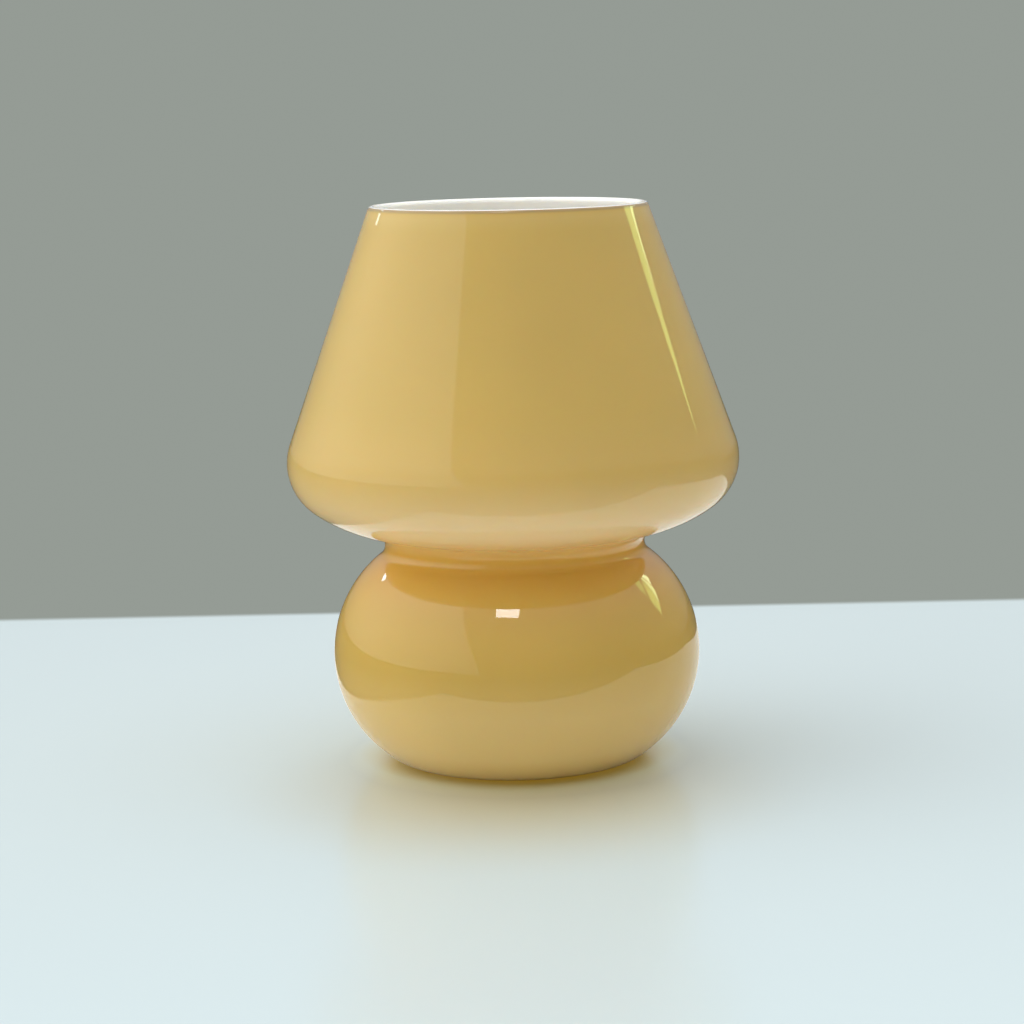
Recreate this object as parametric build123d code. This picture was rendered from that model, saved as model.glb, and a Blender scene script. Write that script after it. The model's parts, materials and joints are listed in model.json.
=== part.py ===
from build123d import *
import math
import os

# Mushroom table lamp: one blown glass body with a globe bulb in a lampholder inside it.
# Millimetres. Z = 0 is the table, +Z is up, Z is the lamp's axis, and the cord hole is at the back, +Y.

# ---- Glass: outer outline, of straight lines and arcs that run into each other ----
overall_height = 220.0      # table to rim
pad_thickness = 1.0         # bumpers under the foot
glass_wall = 3.0
shade_taper = 19.9          # degrees from the vertical, the straight side of the shade
shade_radius = 89.1         # the lamp's widest circle
shade_height = 120.0        # its height over the table
shoulder_radius = 22.3      # roundness of the shade's widest edge
underside_radius = 55.4     # roundness of the shade's underside
underside_drop = 5.4        # from the bottom of the shoulder's circle to the top of the neck's
neck_radius = 51.5
neck_roundness = 5.7        # radius of the groove between shade and globe
globe_radius = 72.8
globe_height = 43.2         # height of the globe's widest circle
foot_roundness = 12.6       # radius of the foot's outer corner
foot_tuck = 15.4            # the foot corner's side, inside the globe's widest circle
foot_ring_width = 9.3       # flat ring that carries the pads
push_up = 9.0               # rise of the bottom's centre over the foot ring
push_up_slope = 50.0        # degrees
push_up_corner = 5.0        # where the foot ring turns up
push_up_crest = 4.0         # where the slope runs into the centre's flat

# ---- Foot pads ----
pad_radius = 4.0
pad_count = 4
pad_chamfer = 0.3           # of a pad's lower edge

# ---- Cord hole and its bushing ----
cord_hole_height = 26.0
cord_hole_radius = 5.5
cord_bore_radius = 3.2
bushing_flange_radius = 8.0
bushing_flange = 1.3        # thickness, outside and inside
bushing_gap = 0.1           # between the soft bushing and the glass
bushing_steps = 6           # straight steps in which its flanges follow the glass

# ---- Stem and what it clamps ----
stem_radius = 5.0           # M10x1, drawn at its outer diameter
stem_bore_radius = 3.8
stem_hole_gap = 0.6         # the stem in the holes of glass, gaskets and plates
thread_gap = 0.05           # a threaded hole round its screw
stem_below_nut = 1.0
stem_chamfer = 0.5
gasket_thickness = 1.5
gasket_margin = 1.2         # the gaskets inside the edge of the bottom's flat
plate_thickness = 1.2
plate_margin = 1.0          # the plates inside the gaskets' edge
plate_lip = 1.6             # height of a plate's turned edge
lock_washer_radius = 8.6
lock_washer_thickness = 0.8
lock_washer_teeth = 12
lock_washer_gap_width = 1.4 # the slots between its teeth
lock_washer_gap_depth = 1.7
nut_width = 14.0            # across flats
nut_height = 3.0
nut_chamfer_angle = 30.0    # degrees
sleeve_length = 20.5
sleeve_wall = 1.6
sleeve_gap = 0.25           # the sleeve round the stem
cord_window_width = 6.4     # in the sleeve and the stem, for the cord
cord_window_height = 10.0

# ---- Lampholder ----
holder_radius = 14.0
holder_wall = 1.8
holder_cap_height = 18.0
holder_collar_radius = 8.5  # the cap's lower collar, over the sleeve
holder_collar_height = 5.0
holder_flare_height = 5.0   # where the cap widens from collar to full radius
holder_boss_height = 9.0    # threaded length on the stem
holder_boss_radius = 7.4
holder_skirt_length = 7.0   # of the shell, screwed inside the cap
holder_thread_gap = 0.2
holder_band_height = 11.0   # straight part of the shell over the cap
holder_mouth_radius = 11.2  # outside of the shell at its mouth
holder_rim_gap = 1.2        # below the bulb's housing
holder_mouth_chamfer = 0.5
locking_screw_radius = 1.5
locking_screw_length = 3.2
locking_screw_slot = 0.5

# ---- Terminal block and contacts ----
block_gap = 0.2             # between block and shell
block_height = 12.0
block_well_radius = 5.6
block_well_depth = 4.0
contact_thickness = 0.4
contact_width = 4.0
contact_gap = 0.1           # between the sprung tongue and the bulb's tip
tongue_margin = 1.2         # the tongue's foot inside the well's wall
side_contact_height = 4.0
screw_shell_wall = 0.4
screw_shell_gap = 0.15      # round the bulb's screw cap
screw_shell_length = 15.5
terminal_radius = 7.6       # of the circle that the terminal screws are on
terminal_shank_radius = 1.25
terminal_shank_length = 6.0
terminal_head_radius = 2.3
terminal_head_height = 1.6
terminal_slot_width = 0.6
terminal_slot_depth = 0.7

# ---- Bulb: E14 cap, 45 mm globe ----
bulb_radius = 22.5
bulb_length = 78.0
bulb_wall = 1.0
tip_below_block = 2.0       # the tip reaches into the terminal block's well
tip_radius = 2.4
tip_dome_radius = 4.8       # of the sphere that the tip's end is part of
tip_height = 1.8
tip_gap = 0.1               # between the tip and the insulator round it
tip_to_cap = 4.0            # length of the insulator's cone
cap_radius = 6.9
cap_wall = 0.35
cap_length = 15.0
cap_lip = 1.2               # width of the cap's turned-in lower edge
cap_collar_gap = 1.0        # between the cap's top and the housing's collar
insulator_shoulder = 0.6    # width of the insulator's edge round the tip
insulator_plug = 3.0        # its length inside the cap
housing_collar_radius = 8.4
housing_collar_height = 3.0
housing_height = 25.5       # from the cap to the globe's seam
housing_wall = 1.3
housing_neck_length = 7.0   # inside the cap
housing_gap = 0.1
board_thickness = 1.2
board_ledge = 1.0           # width of the ledge that the board lies on
board_drop = 3.0            # under the housing's top edge
chip_count = 8
chip_ring_radius = 10.5
chip_length = 3.5
chip_width = 2.8
chip_height = 0.8
driver_width = 9.6
driver_height = 24.0
driver_thickness = 1.2

cut_past = 1.0              # how far a slot or blind hole is cut past the face that it opens

# ---- Heights that follow, from the table up ----
bottom_outside = pad_thickness + push_up
bottom_inside = bottom_outside + glass_wall
clamp_top = bottom_outside - gasket_thickness
clamp_bottom = clamp_top - plate_thickness
nut_top = clamp_bottom - lock_washer_thickness
nut_bottom = nut_top - nut_height
stem_bottom = nut_bottom - stem_below_nut
inner_plate_bottom = bottom_inside + gasket_thickness
sleeve_bottom = inner_plate_bottom + plate_thickness
holder_bottom = sleeve_bottom + sleeve_length
holder_seam = holder_bottom + holder_cap_height
stem_top = holder_bottom + holder_boss_height
block_top = holder_seam + holder_band_height - holder_wall
block_bottom = block_top - block_height
well_floor = block_top - block_well_depth
tip_bottom = block_top - tip_below_block
cap_bottom = tip_bottom + tip_to_cap
cap_top = cap_bottom + cap_length
housing_bottom = cap_top + cap_collar_gap
holder_top = housing_bottom - holder_rim_gap
seam_height = housing_bottom + housing_height
bulb_centre = tip_bottom + bulb_length - bulb_radius

# ---- Radii that follow ----
stem_hole_radius = stem_radius + stem_hole_gap
stem_thread_radius = stem_radius + thread_gap
mouth_inner_radius = holder_mouth_radius - holder_wall
screw_shell_inner = cap_radius + screw_shell_gap
screw_shell_outer = screw_shell_inner + screw_shell_wall


def on_circle(centre, radius, degrees):
    """Point of a circle in the profile plane, at an angle from outwards towards up."""
    turn = math.radians(degrees)
    return (centre[0] + radius * math.cos(turn), centre[1] + radius * math.sin(turn))


def direction(start, end):
    """Angle of the line from start to end, in degrees."""
    return math.degrees(math.atan2(end[1] - start[1], end[0] - start[0]))


def arc(centre, radius, start, end):
    """Arc about a centre, between two angles."""
    ends = [on_circle(centre, radius, angle) for angle in (start, (start + end) / 2, end)]
    return ThreePointArc(*ends)


def centre_inside(upper, upper_reach, lower, lower_reach):
    """The point at given distances from two others, on the side of the lamp's axis."""
    across = lower[0] - upper[0]
    down = lower[1] - upper[1]
    apart = math.hypot(across, down)
    along = (upper_reach**2 - lower_reach**2 + apart**2) / (2 * apart)
    aside = math.sqrt(upper_reach**2 - along**2)
    return (
        upper[0] + (along * across + aside * down) / apart,
        upper[1] + (along * down - aside * across) / apart,
    )


def turned(edges):
    """Solid of revolution about Z, from edges drawn as (radius, height)."""
    return revolve(Plane.XZ * make_face(edges), Axis.Z)


def turned_points(*points):
    """Solid of revolution about Z, from corners given as (radius, height)."""
    return turned(Polyline(*points, close=True).edges())


def tube(inner, outer, low, high):
    """Ring or tube about Z."""
    return turned_points((inner, low), (outer, low), (outer, high), (inner, high))


def rod(radius, low, high):
    """Round bar about Z."""
    return Pos(0, 0, (low + high) / 2) * Cylinder(radius, high - low)


def rearward(radius, start, end, height):
    """Round bar along +Y, from one distance behind the axis to another."""
    bar = Rot(90, 0, 0) * Cylinder(radius, end - start)
    return Pos(0, (start + end) / 2, height) * bar


# ---- Centres and angles of the glass outline ----
neck_height = shade_height - shoulder_radius - underside_drop - neck_roundness
shoulder_centre = (shade_radius - shoulder_radius, shade_height)
neck_centre = (neck_radius + neck_roundness, neck_height)
underside_centre = centre_inside(
    shoulder_centre,
    underside_radius - shoulder_radius,
    neck_centre,
    underside_radius + neck_roundness,
)
shoulder_end = direction(underside_centre, shoulder_centre)
underside_end = direction(underside_centre, neck_centre)

# The globe's upper arc is upright at its widest circle and touches the neck's groove.
globe_over_neck = globe_radius - neck_centre[0]
neck_over_globe = neck_height - globe_height
globe_top_radius = (globe_over_neck**2 + neck_over_globe**2 - neck_roundness**2) / (
    2 * (globe_over_neck + neck_roundness)
)
globe_top_centre = (globe_radius - globe_top_radius, globe_height)
globe_top_start = direction(globe_top_centre, neck_centre)

# Its lower arc is upright there too and runs into the foot's corner.
foot_centre = (globe_radius - foot_tuck - foot_roundness, pad_thickness + foot_roundness)
globe_over_foot = globe_radius - foot_centre[0]
foot_under_globe = globe_height - foot_centre[1]
globe_low_radius = (globe_over_foot**2 + foot_under_globe**2 - foot_roundness**2) / (2 * foot_tuck)
globe_low_centre = (globe_radius - globe_low_radius, globe_height)
globe_low_end = direction(globe_low_centre, foot_centre)

# The pushed-up bottom: a convex corner, a straight slope and a hollow crest.
foot_ring_inner = foot_centre[0] - foot_ring_width
corner_centre = (foot_ring_inner, pad_thickness + push_up_corner)
slope_sine = math.sin(math.radians(push_up_slope))
slope_cosine = math.cos(math.radians(push_up_slope))
slope_length = (push_up - (push_up_corner + push_up_crest) * (1 - slope_cosine)) / slope_sine
flat_radius = (
    foot_ring_inner - (push_up_corner + push_up_crest) * slope_sine - slope_length * slope_cosine
)
crest_centre = (flat_radius, bottom_outside - push_up_crest)

# The straight side ends where the rim's half round starts, so that the rim's top is at full height.
taper_sine = math.sin(math.radians(shade_taper))
taper_cosine = math.cos(math.radians(shade_taper))
rim_half = glass_wall / 2
side_length = (
    overall_height - rim_half - shade_height - (shoulder_radius - rim_half) * taper_sine
) / taper_cosine


def side_end(inset):
    """Upper end of the shade's straight side, on the surface at an inset into the wall."""
    foot_of_side = on_circle(shoulder_centre, shoulder_radius - inset, shade_taper)
    return (foot_of_side[0] - side_length * taper_sine, foot_of_side[1] + side_length * taper_cosine)


def glass_surface(inset):
    """Edges of the glass's profile at an inset into the wall, from the rim to the stem's hole.

    Every arc keeps its centre: a convex one gets smaller by the inset, a hollow one larger."""
    side_start = on_circle(shoulder_centre, shoulder_radius - inset, shade_taper)
    ring_height = pad_thickness + inset
    flat_height = bottom_outside + inset
    slope_low = on_circle(corner_centre, push_up_corner - inset, -90 - push_up_slope)
    slope_high = on_circle(crest_centre, push_up_crest + inset, 90 - push_up_slope)
    return [
        Line(side_end(inset), side_start),
        arc(shoulder_centre, shoulder_radius - inset, shade_taper, shoulder_end),
        arc(underside_centre, underside_radius - inset, shoulder_end, underside_end),
        arc(neck_centre, neck_roundness + inset, underside_end + 180, globe_top_start + 180),
        arc(globe_top_centre, globe_top_radius - inset, globe_top_start, 0),
        arc(globe_low_centre, globe_low_radius - inset, 0, globe_low_end),
        arc(foot_centre, foot_roundness - inset, globe_low_end, -90),
        Line((foot_centre[0], ring_height), (foot_ring_inner, ring_height)),
        arc(corner_centre, push_up_corner - inset, -90, -90 - push_up_slope),
        Line(slope_low, slope_high),
        arc(crest_centre, push_up_crest + inset, 90 - push_up_slope, 90),
        Line((flat_radius, flat_height), (stem_hole_radius, flat_height)),
    ]


def glass_shell(outer_inset, inner_inset):
    """Solid between two surfaces of the wall, with a half round rim."""
    middle = side_end((outer_inset + inner_inset) / 2)
    half = (inner_inset - outer_inset) / 2
    rim_tip = on_circle(middle, half, shade_taper + 90)
    rim = ThreePointArc(side_end(outer_inset), rim_tip, side_end(inner_inset))
    hole_wall = Line(
        (stem_hole_radius, bottom_outside + outer_inset),
        (stem_hole_radius, bottom_outside + inner_inset),
    )
    return turned([*glass_surface(outer_inset), hole_wall, *glass_surface(inner_inset), rim])


def glass_body():
    cord_hole = rearward(cord_hole_radius, 0, globe_radius + glass_wall, cord_hole_height)
    return glass_shell(0, glass_wall) - cord_hole


def foot_pads():
    """Round bumpers, evenly spaced on the middle of the foot ring."""
    ring_middle = foot_centre[0] - foot_ring_width / 2
    pad = Pos(ring_middle, 0, pad_thickness / 2) * Cylinder(pad_radius, pad_thickness)
    pad = chamfer(pad.edges().filter_by(GeomType.CIRCLE).sort_by(Axis.Z)[0], pad_chamfer)
    step = 360 / pad_count
    return Compound([Rot(0, 0, step * (index + 0.5)) * pad for index in range(pad_count)])


def globe_band(outer_inset, inner_inset):
    """Band of the wall behind the cord hole, between two insets, in short straight steps."""
    middle = math.degrees(math.asin((cord_hole_height - globe_height) / globe_low_radius))
    reach = math.degrees(2 * bushing_flange_radius / globe_low_radius)
    angles = [middle + reach * (2 * step / bushing_steps - 1) for step in range(bushing_steps + 1)]
    outer = [on_circle(globe_low_centre, globe_low_radius - outer_inset, angle) for angle in angles]
    inner = [on_circle(globe_low_centre, globe_low_radius - inner_inset, angle) for angle in angles]
    return turned_points(*outer, *reversed(inner))


def cord_grommet():
    """Soft bushing whose flanges follow the glass, outside and inside."""
    span = globe_radius + glass_wall
    outer = bushing_gap + bushing_flange
    barrel_radius = cord_hole_radius - bushing_gap
    blank = globe_band(-outer, glass_wall + outer) & rearward(
        bushing_flange_radius, 0, span, cord_hole_height
    )
    groove = globe_band(-bushing_gap, glass_wall + bushing_gap) - rearward(
        barrel_radius, 0, span, cord_hole_height
    )
    return blank - groove - rearward(cord_bore_radius, 0, span, cord_hole_height)


def gasket(low):
    return tube(stem_hole_radius, flat_radius - gasket_margin, low, low + gasket_thickness)


def plate(seat, lip_side):
    """Pressed steel plate on a gasket, its edge turned away from the glass. lip_side is 1 or -1."""
    outer = flat_radius - gasket_margin - plate_margin
    away = seat + lip_side * plate_thickness
    lip_end = away + lip_side * plate_lip
    lip_inner = outer - plate_thickness
    return turned_points(
        (stem_hole_radius, seat),
        (outer, seat),
        (outer, lip_end),
        (lip_inner, lip_end),
        (lip_inner, away),
        (stem_hole_radius, away),
    )


def lock_washer():
    """Washer with slots between its outer teeth."""
    washer = tube(stem_thread_radius, lock_washer_radius, nut_top, clamp_bottom)
    slot_middle = lock_washer_radius - lock_washer_gap_depth / 2
    slot = Pos(slot_middle, 0, (nut_top + clamp_bottom) / 2) * Box(
        lock_washer_gap_depth, lock_washer_gap_width, 2 * lock_washer_thickness
    )
    for index in range(lock_washer_teeth):
        washer -= Rot(0, 0, 360 / lock_washer_teeth * index) * slot
    return washer


def stem_nut():
    """Thin hexagon nut with its corners turned off at both ends."""
    hexagon = RegularPolygon(nut_width / 2, 6, major_radius=False)
    blank = Pos(0, 0, nut_bottom) * extrude(hexagon, nut_height)
    corner_radius = nut_width / 2 / math.cos(math.radians(30))
    flat = nut_width / 2
    fall = (corner_radius - flat) * math.tan(math.radians(nut_chamfer_angle))
    turned_blank = turned_points(
        (stem_thread_radius, nut_bottom),
        (flat, nut_bottom),
        (corner_radius, nut_bottom + fall),
        (corner_radius, nut_top - fall),
        (flat, nut_top),
        (stem_thread_radius, nut_top),
    )
    return blank & turned_blank


def cord_window(reach):
    """Slot through the back of stem and sleeve, with round ends, at the cord hole's height."""
    straight = cord_window_height - cord_window_width
    slot = Box(cord_window_width, reach, straight)
    for side in (-1, 1):
        slot += Pos(0, 0, side * straight / 2) * Rot(90, 0, 0) * Cylinder(cord_window_width / 2, reach)
    return Pos(0, reach / 2, cord_hole_height) * slot


def threaded_stem():
    stem = tube(stem_bore_radius, stem_radius, stem_bottom, stem_top)
    outer_ends = stem.edges().filter_by(GeomType.CIRCLE).group_by(SortBy.RADIUS)[-1]
    return chamfer(outer_ends, stem_chamfer) - cord_window(2 * stem_radius)


def stem_sleeve():
    inner = stem_radius + sleeve_gap
    sleeve = tube(inner, inner + sleeve_wall, sleeve_bottom, holder_bottom)
    return sleeve - cord_window(2 * (inner + sleeve_wall))


def holder_cap():
    """Lower half of the lampholder: collar, flare and cup, with a threaded boss on the stem."""
    collar_top = holder_bottom + holder_collar_height
    cup_start = collar_top + holder_flare_height
    cup_inner = holder_radius - holder_wall
    cap = turned_points(
        (stem_thread_radius, holder_bottom),
        (holder_collar_radius, holder_bottom),
        (holder_collar_radius, collar_top),
        (holder_radius, cup_start),
        (holder_radius, holder_seam),
        (cup_inner, holder_seam),
        (cup_inner, cup_start + holder_wall / 2),
        (holder_boss_radius + holder_wall / 2, collar_top + holder_wall),
        (holder_boss_radius, collar_top + holder_wall),
        (holder_boss_radius, stem_top),
        (stem_thread_radius, stem_top),
    )
    return cap - locking_hole()


def locking_height():
    return holder_bottom + holder_collar_height / 2


def locking_hole():
    return rearward(locking_screw_radius + thread_gap, 0, holder_radius, locking_height())


def locking_screw():
    """Grub screw from the collar's side to the stem."""
    start = stem_radius
    end = start + locking_screw_length
    screw = rearward(locking_screw_radius, start, end, locking_height())
    slot_length = 2 * (locking_screw_radius + cut_past)
    slot = Pos(0, end, locking_height()) * Box(slot_length, 2 * locking_screw_slot, locking_screw_slot)
    return screw - slot


def holder_shell():
    """Upper half: a skirt inside the cap, a straight band, and a taper to the mouth."""
    skirt_outer = holder_radius - holder_wall - holder_thread_gap
    skirt_inner = skirt_outer - holder_wall
    skirt_bottom = holder_seam - holder_skirt_length
    band_top = holder_seam + holder_band_height
    shell = turned_points(
        (skirt_inner, skirt_bottom),
        (skirt_outer, skirt_bottom),
        (skirt_outer, holder_seam),
        (holder_radius, holder_seam),
        (holder_radius, band_top),
        (holder_mouth_radius, holder_top),
        (mouth_inner_radius, holder_top),
        (mouth_inner_radius, block_top),
        (skirt_inner, block_top),
    )
    mouth = shell.edges().filter_by(GeomType.CIRCLE).group_by(Axis.Z)[-1]
    return chamfer(mouth, holder_mouth_chamfer)


def terminal_block():
    """Insulating insert: well for the tongue, holes for the terminal screws."""
    outer = holder_radius - 2 * holder_wall - holder_thread_gap - block_gap
    block = rod(outer, block_bottom, block_top)
    block -= rod(block_well_radius, well_floor, block_top + cut_past)
    hole_top = block_bottom + terminal_shank_length + contact_thickness
    for side in (-1, 1):
        block -= Pos(side * terminal_radius, 0, 0) * rod(
            terminal_shank_radius + thread_gap, block_bottom - cut_past, hole_top
        )
    return block


def terminal_screws():
    """Two slotted screws from below."""
    head_bottom = block_bottom - terminal_head_height
    shank_top = block_bottom + terminal_shank_length
    screw = rod(terminal_shank_radius, block_bottom, shank_top)
    screw += rod(terminal_head_radius, head_bottom, block_bottom)
    slot_length = 2 * (terminal_head_radius + cut_past)
    screw -= Pos(0, 0, head_bottom) * Box(slot_length, terminal_slot_width, 2 * terminal_slot_depth)
    return Compound([Pos(side * terminal_radius, 0, 0) * screw for side in (-1, 1)])


def strip(*points):
    """Bent contact strip, from the middle line of its side view, as wide as a contact."""
    half = contact_thickness / 2
    section = offset(Polyline(*points), half, kind=Kind.INTERSECTION, side=Side.BOTH)
    return extrude(Plane.YZ * make_face(section.edges()), contact_width / 2, both=True)


def centre_contact():
    """Sprung tongue: a foot on the well's floor, a slope, and a flat under the bulb's tip."""
    half = contact_thickness / 2
    foot_end = tongue_margin - block_well_radius
    low = well_floor + half
    high = tip_bottom - contact_gap - half
    return strip((foot_end, low), (-tip_radius, low), (-tip_radius / 2, high), (tip_radius, high))


def screw_shell():
    return tube(screw_shell_inner, screw_shell_outer, block_top, block_top + screw_shell_length)


def side_contact():
    """Angle strip that stands on the block and bears on the screw shell."""
    half = contact_thickness / 2
    face = screw_shell_outer + half
    reach = (face + mouth_inner_radius) / 2
    foot = block_top + half
    return strip((reach, foot), (face, foot), (face, foot + side_contact_height))


def bulb_tip_contact():
    """Button at the bulb's tip, domed below."""
    dome_end = -math.degrees(math.acos(tip_radius / tip_dome_radius))
    dome = arc((0, tip_bottom + tip_dome_radius), tip_dome_radius, -90, dome_end)
    edge = dome @ 1
    return turned(
        [
            dome,
            Line((edge.X, edge.Y), (tip_radius, tip_bottom + tip_height)),
            Line((tip_radius, tip_bottom + tip_height), (0, tip_bottom + tip_height)),
            Line((0, tip_bottom + tip_height), (0, tip_bottom)),
        ]
    )


def bulb_insulator():
    """Cone between the tip and the screw cap, with a socket for the tip."""
    socket_radius = tip_radius + tip_gap
    socket_floor = tip_bottom + tip_height + tip_gap
    low = tip_bottom + tip_height / 2
    inside_cap = cap_radius - cap_wall - housing_gap
    return turned_points(
        (0, socket_floor),
        (socket_radius, socket_floor),
        (socket_radius, low),
        (socket_radius + insulator_shoulder, low),
        (cap_radius - cap_lip - housing_gap, cap_bottom),
        (cap_radius - cap_lip - housing_gap, cap_bottom + cap_wall + housing_gap),
        (inside_cap, cap_bottom + cap_wall + housing_gap),
        (inside_cap, cap_bottom + insulator_plug),
        (0, cap_bottom + insulator_plug),
    )


def bulb_cap():
    """Screw cap, drawn as its plain outer cylinder, with a turned-in lower edge."""
    inner = cap_radius - cap_wall
    return turned_points(
        (cap_radius - cap_lip, cap_bottom),
        (cap_radius, cap_bottom),
        (cap_radius, cap_top),
        (inner, cap_top),
        (inner, cap_bottom + cap_wall),
        (cap_radius - cap_lip, cap_bottom + cap_wall),
    )


def seam_radius():
    """Radius of the globe's outside at the seam."""
    return math.sqrt(bulb_radius**2 - (bulb_centre - seam_height) ** 2)


def bulb_housing():
    """Flared housing: a neck in the screw cap, a collar, and a cup for the board and the globe."""
    neck = cap_radius - cap_wall - housing_gap
    neck_bottom = housing_bottom - housing_neck_length
    collar_top = housing_bottom + housing_collar_height
    board_seat = seam_height - board_drop
    rim = seam_radius()
    cup = rim - housing_wall
    ledge = cup - board_ledge
    return turned_points(
        (neck - housing_wall, neck_bottom),
        (neck, neck_bottom),
        (neck, housing_bottom),
        (housing_collar_radius, housing_bottom),
        (housing_collar_radius, collar_top),
        (rim, board_seat - board_ledge),
        (rim, seam_height),
        (cup, seam_height),
        (cup, board_seat),
        (ledge, board_seat),
        (ledge, board_seat - board_ledge),
        (neck - housing_wall, collar_top + housing_wall),
    )


def bulb_diffuser():
    """Opal globe with a lip inside the housing's edge."""
    centre = (0, bulb_centre)
    rim = (seam_radius(), seam_height)
    inner_radius = bulb_radius - bulb_wall
    lip_radius = seam_radius() - housing_wall - housing_gap
    lip_height = seam_height - board_drop + board_thickness + housing_gap
    inner_end = -math.degrees(math.asin((bulb_centre - lip_height) / inner_radius))
    return turned(
        [
            arc(centre, bulb_radius, direction(centre, rim), 90),
            Line((0, bulb_centre + bulb_radius), (0, bulb_centre + inner_radius)),
            arc(centre, inner_radius, 90, inner_end),
            Line(on_circle(centre, inner_radius, inner_end), (lip_radius, lip_height)),
            Line((lip_radius, lip_height), (lip_radius, seam_height)),
            Line((lip_radius, seam_height), rim),
        ]
    )


def led_board():
    seat = seam_height - board_drop
    return rod(seam_radius() - housing_wall - housing_gap, seat, seat + board_thickness)


def led_chips():
    """Chips in a ring on the board."""
    seat = seam_height - board_drop + board_thickness
    chip = Pos(chip_ring_radius, 0, seat + chip_height / 2) * Box(chip_length, chip_width, chip_height)
    step = 360 / chip_count
    return Compound([Rot(0, 0, step * index) * chip for index in range(chip_count)])


def driver_board():
    """Upright board under the chips' board."""
    top = seam_height - board_drop
    return Pos(0, 0, top - driver_height / 2) * Box(driver_width, driver_thickness, driver_height)


pieces = {
    "glass_body": glass_body(),
    "foot_pads": foot_pads(),
    "cord_grommet": cord_grommet(),
    "outer_gasket": gasket(clamp_top),
    "clamp_plate": plate(clamp_top, -1),
    "lock_washer": lock_washer(),
    "stem_nut": stem_nut(),
    "threaded_stem": threaded_stem(),
    "inner_gasket": gasket(bottom_inside),
    "inner_plate": plate(inner_plate_bottom, 1),
    "stem_sleeve": stem_sleeve(),
    "holder_cap": holder_cap(),
    "locking_screw": locking_screw(),
    "holder_shell": holder_shell(),
    "terminal_block": terminal_block(),
    "terminal_screws": terminal_screws(),
    "centre_contact": centre_contact(),
    "side_contact": side_contact(),
    "screw_shell": screw_shell(),
    "bulb_tip_contact": bulb_tip_contact(),
    "bulb_insulator": bulb_insulator(),
    "bulb_cap": bulb_cap(),
    "bulb_housing": bulb_housing(),
    "bulb_diffuser": bulb_diffuser(),
    "led_board": led_board(),
    "led_chips": led_chips(),
    "driver_board": driver_board(),
}

os.makedirs("parts", exist_ok=True)
for name, piece in pieces.items():
    export_step(piece, f"parts/{name}.step")
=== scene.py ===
import json
import math

import bmesh
import bpy
import numpy as np
from mathutils import Matrix, Vector


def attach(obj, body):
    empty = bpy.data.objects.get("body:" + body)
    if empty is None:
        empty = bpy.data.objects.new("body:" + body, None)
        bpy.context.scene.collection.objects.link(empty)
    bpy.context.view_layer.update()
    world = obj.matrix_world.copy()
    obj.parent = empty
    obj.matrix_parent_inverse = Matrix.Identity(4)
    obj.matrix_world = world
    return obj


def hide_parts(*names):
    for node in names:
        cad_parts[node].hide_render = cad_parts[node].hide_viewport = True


# Mushroom table lamp of cased opal glass. Metres; +Z is up, and the lamp's axis is Z.

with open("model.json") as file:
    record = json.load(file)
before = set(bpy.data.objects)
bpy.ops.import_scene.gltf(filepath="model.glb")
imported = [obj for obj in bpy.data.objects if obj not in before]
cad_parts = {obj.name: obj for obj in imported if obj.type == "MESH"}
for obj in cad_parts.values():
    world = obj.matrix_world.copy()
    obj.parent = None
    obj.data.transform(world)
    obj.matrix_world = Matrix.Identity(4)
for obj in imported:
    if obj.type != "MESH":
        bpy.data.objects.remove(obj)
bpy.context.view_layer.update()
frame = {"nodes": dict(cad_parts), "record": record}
nodes = frame["nodes"]
scene = bpy.context.scene

mm = 0.001

# ---- Glass outline: the same lines and arcs as the solid's ----
overall_height = 0.220
pad_thickness = 0.001
glass_wall = 0.003
shade_taper = 19.9          # degrees from the vertical
shade_radius = 0.0891
shade_height = 0.120
shoulder_radius = 0.0223
underside_radius = 0.0554
underside_drop = 0.0054
neck_radius = 0.0515
neck_roundness = 0.0057
globe_radius = 0.0728
globe_height = 0.0432
foot_roundness = 0.0126
foot_tuck = 0.0154
foot_ring_width = 0.0093
push_up = 0.009
push_up_slope = 50.0        # degrees
push_up_corner = 0.005
push_up_crest = 0.004
stem_hole_radius = 0.0056
cord_hole_radius = 0.0055
cord_hole_height = 0.026
amber_lip_angle = 60        # how far the amber goes over the rim, in degrees from the horizontal


def on_circle(centre, radius, degrees):
    """Points (radius, height) on a circle: centre + radius (cos a, sin a), for one or many a."""
    turn = np.radians(degrees)
    return np.stack([centre[0] + radius * np.cos(turn), centre[1] + radius * np.sin(turn)], axis=-1)


def direction(start, end):
    """Angle of the line from start to end, in degrees."""
    return math.degrees(math.atan2(end[1] - start[1], end[0] - start[0]))


def arc(centre, radius, start, end, step=0.0012):
    """Points along an arc between two angles, at most a step apart and at most 6 degrees."""
    sweep = abs(end - start)
    count = max(math.ceil(math.radians(sweep) * radius / step), math.ceil(sweep / 6), 1)
    return on_circle(centre, radius, np.linspace(start, end, count + 1))


def line(start, end, step=0.006):
    """Points along a straight line, at most a step apart."""
    count = max(math.ceil(math.dist(start, end) / step), 1)
    return np.linspace(start, end, count + 1)


def joined(*stretches):
    """One row of points from stretches that meet end to end, without the doubled points."""
    points = np.concatenate(stretches)
    apart = np.linalg.norm(np.diff(points, axis=0), axis=1) > 1e-7
    return points[np.r_[True, apart]]


def centre_inside(upper, upper_reach, lower, lower_reach):
    """The point at given distances from two others, on the side of the lamp's axis."""
    across = lower[0] - upper[0]
    down = lower[1] - upper[1]
    apart = math.hypot(across, down)
    along = (upper_reach**2 - lower_reach**2 + apart**2) / (2 * apart)
    aside = math.sqrt(upper_reach**2 - along**2)
    return (
        upper[0] + (along * across + aside * down) / apart,
        upper[1] + (along * down - aside * across) / apart,
    )


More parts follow.
